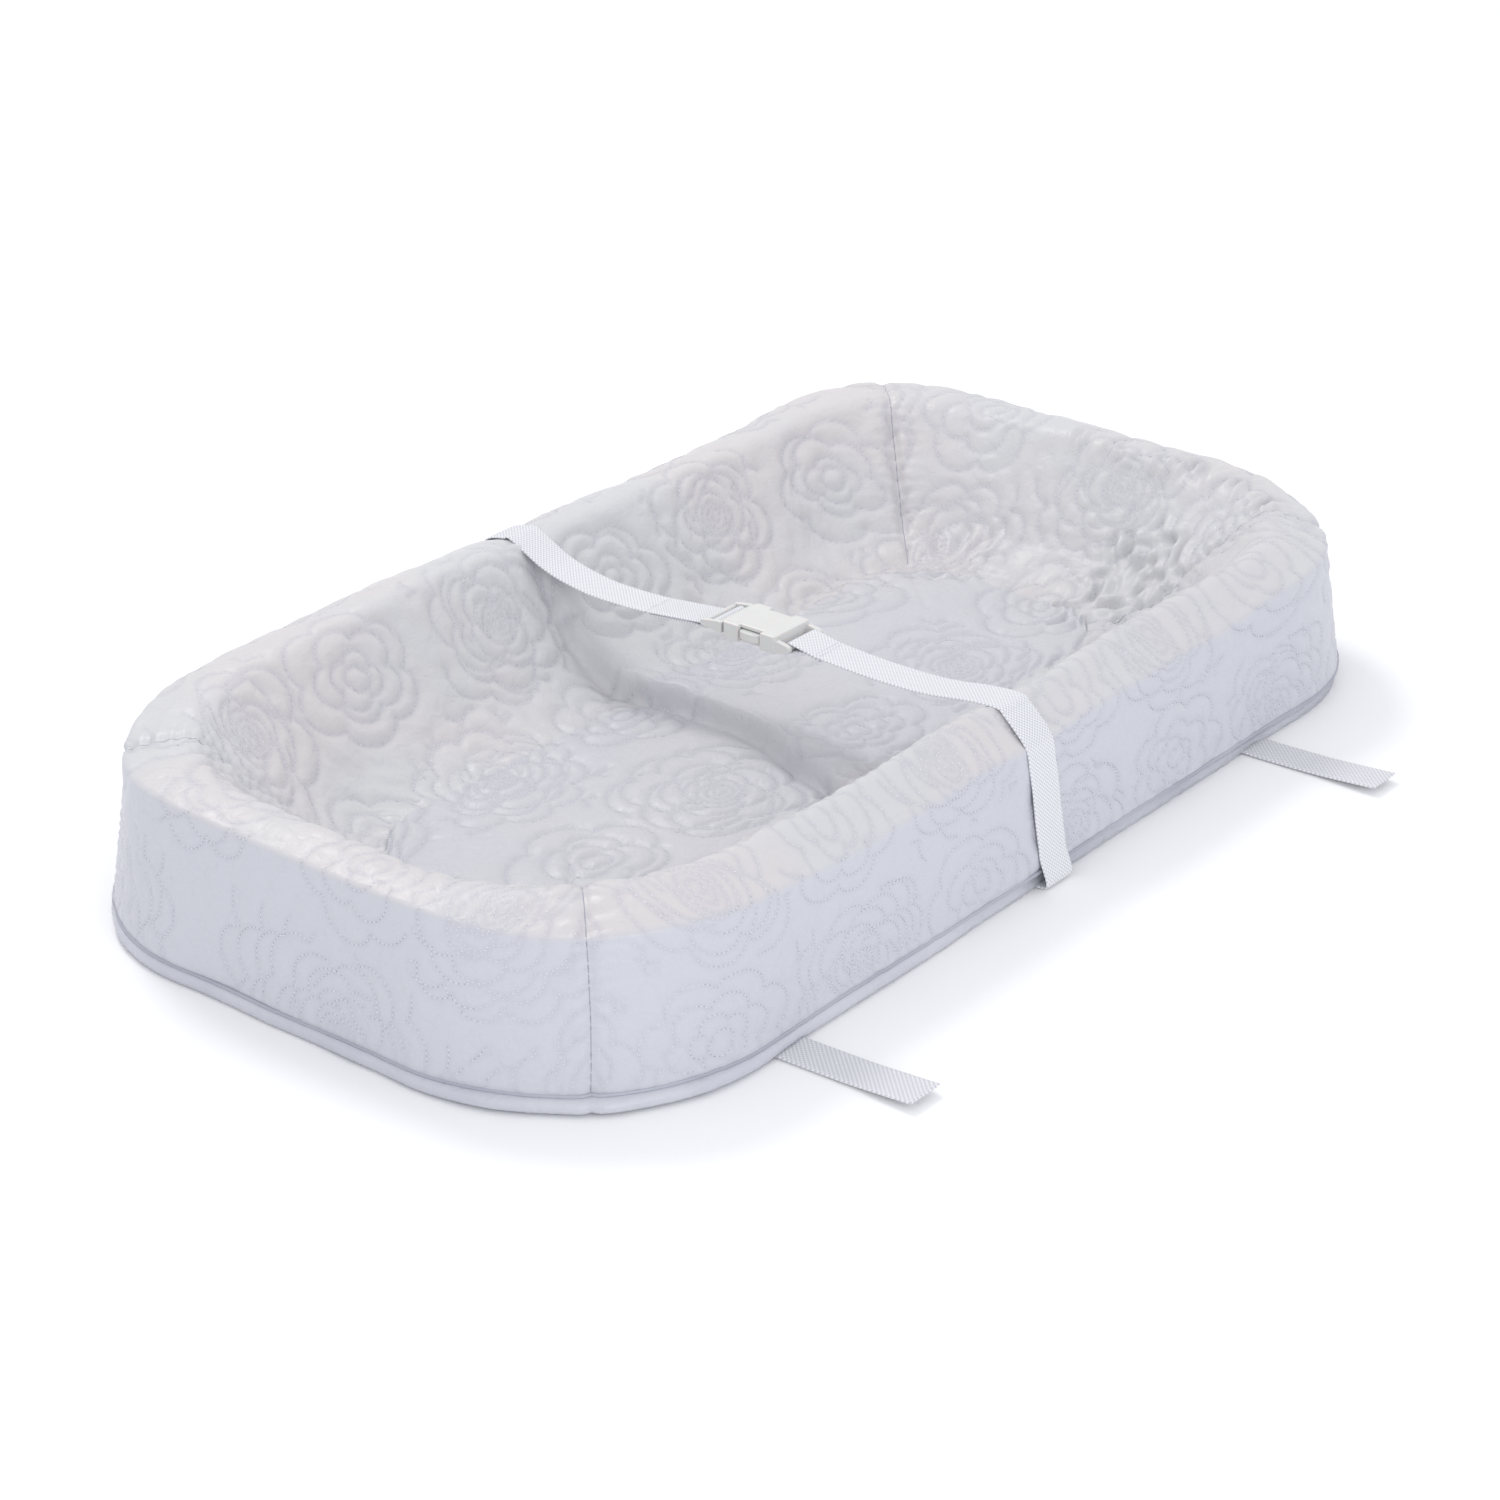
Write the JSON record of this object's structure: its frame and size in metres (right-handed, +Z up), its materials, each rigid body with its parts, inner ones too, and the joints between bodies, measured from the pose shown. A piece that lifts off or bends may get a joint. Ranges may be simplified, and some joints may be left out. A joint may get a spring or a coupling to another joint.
{
  "type": "changing pad",
  "caption": "Contoured baby changing pad: raised foam sides under a quilted cover, with a buckled safety belt and webbing mounting tabs.",
  "frame": {"origin": "centre of the flat underside", "axes": "+X along the pad's length, -Y towards the long side with the mounting tabs, +Z up"},
  "size_m": [0.776, 0.51, 0.1077],
  "materials": {
    "quilted_vinyl": "satin",
    "panel_vinyl": "matte",
    "binding_tape": "matte",
    "foam": "matte",
    "webbing": "matte",
    "thread": "satin",
    "buckle_plastic": "satin"
  },
  "bodies": {
    "pad": {"foam_base": "foam", "foam_side_near": "foam", "foam_side_far": "foam", "foam_end_left": "foam", "foam_end_right": "foam", "quilted_cover": "quilted_vinyl", "bottom_panel": "panel_vinyl", "hem_binding": "binding_tape", "belt_anchor_far": "webbing", "belt_anchor_near": "webbing", "belt_box_stitch_far": "thread", "belt_box_stitch_near": "thread", "tab_root_left": "webbing", "tab_root_right": "webbing", "tab_stitch_left": "thread", "tab_stitch_right": "thread"},
    "belt_far": {"belt_run_far": "webbing", "belt_tail": "webbing", "belt_tail_stitch": "thread"},
    "belt_near": {"belt_run_near": "webbing", "belt_loop_stitch": "thread"},
    "insert": {"buckle_insert": "buckle_plastic", "belt_ladder_turn": "webbing"},
    "housing": {"buckle_housing": "buckle_plastic"},
    "latch_left": {"latch_arm_left": "buckle_plastic"},
    "latch_right": {"latch_arm_right": "buckle_plastic"},
    "tab_left": {"tab_flap_left": "webbing"},
    "tab_right": {"tab_flap_right": "webbing"}
  },
  "joints": [
    {"name": "belt_lift", "type": "hinge", "parent": "pad", "child": "belt_far", "pos_m": [0, 0.17511, 0.10456], "axis": [-1, 0, 0], "range_deg": [0, 75], "deforming": ["latch_arm_left", "latch_arm_right"]},
    {"name": "near_belt_lift", "type": "hinge", "parent": "pad", "child": "belt_near", "pos_m": [0, -0.18078, 0.10642], "axis": [1, 0, 0], "range_deg": [0, 75]},
    {"name": "insert_pitch", "type": "hinge", "parent": "belt_far", "child": "insert", "pos_m": [0, 0.02762, 0.09536], "axis": [1, 0, 0], "range_deg": [0, 75]},
    {"name": "housing_pitch", "type": "hinge", "parent": "belt_near", "child": "housing", "pos_m": [0, -0.03328, 0.09722], "axis": [-1, 0, 0], "range_deg": [0, 75]},
    {"name": "latch_squeeze", "type": "hinge", "parent": "insert", "child": "latch_left", "pos_m": [-0.0099, 0.0132, 0.09791], "axis": [0, 0, 1], "range_deg": [0, 14], "stiffness_Nm_per_rad": 1.2},
    {"name": "latch_squeeze_right", "type": "hinge", "parent": "insert", "child": "latch_right", "pos_m": [0.0099, 0.0132, 0.09791], "axis": [0, 0, -1], "range_deg": [0, 14], "stiffness_Nm_per_rad": 1.2},
    {"name": "tab_left_lift", "type": "hinge", "parent": "pad", "child": "tab_left", "pos_m": [-0.236, -0.214, 0.00125], "axis": [-1, 0, 0], "range_deg": [0, 90]},
    {"name": "tab_right_lift", "type": "hinge", "parent": "pad", "child": "tab_right", "pos_m": [0.217, -0.214, 0.00125], "axis": [-1, 0, 0], "range_deg": [0, 90]}
  ],
  "couplings": [
    {"joint": "near_belt_lift", "follows": "belt_lift", "ratio": 1},
    {"joint": "insert_pitch", "follows": "belt_lift", "ratio": 1},
    {"joint": "housing_pitch", "follows": "belt_lift", "ratio": 1},
    {"joint": "latch_squeeze_right", "follows": "latch_squeeze", "ratio": 1}
  ]
}
